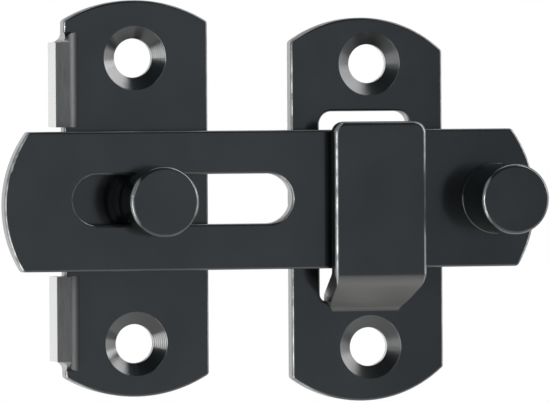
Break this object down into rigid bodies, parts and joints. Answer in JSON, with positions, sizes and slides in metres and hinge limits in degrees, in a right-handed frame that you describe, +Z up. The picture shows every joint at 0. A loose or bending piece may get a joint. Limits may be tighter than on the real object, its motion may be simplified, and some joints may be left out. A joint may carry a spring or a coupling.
{
  "type": "slide-and-flip bar latch",
  "caption": "Surface bar latch: a slotted flat bar slides and flips on a riveted stud of the door plate and drops into the open hook of a keeper plate.",
  "frame": {"origin": "on the mounting plane, midway between the door plate's two screw holes", "axes": "+X along the bar towards the keeper, +Z up as mounted, +Y into the door; the front faces -Y"},
  "size_m": [0.0772, 0.0173, 0.0566],
  "materials": {
    "coated_sheet": "black satin powder coat on stamped steel sheet",
    "coated_turned": "black satin coat on turned steel",
    "collar_steel": "black coated steel ring"
  },
  "bodies": {
    "plates": {"door_plate": "coated_sheet", "pivot_stud": "coated_turned", "keeper_plate": "coated_sheet"},
    "collar": {"spacer_collar": "collar_steel"},
    "bar": {"slide_bar": "coated_sheet", "pull_knob": "coated_turned"}
  },
  "joints": [
    {"name": "bar_flip", "type": "hinge", "parent": "plates", "child": "collar", "pos_m": [0.0015, 0, 0], "axis": [0, -1, 0], "range_deg": [0, 180]},
    {"name": "bar_slide", "type": "slide", "parent": "collar", "child": "bar", "axis": [1, 0, 0], "range_m": [-0.0036, 0.0083]}
  ]
}
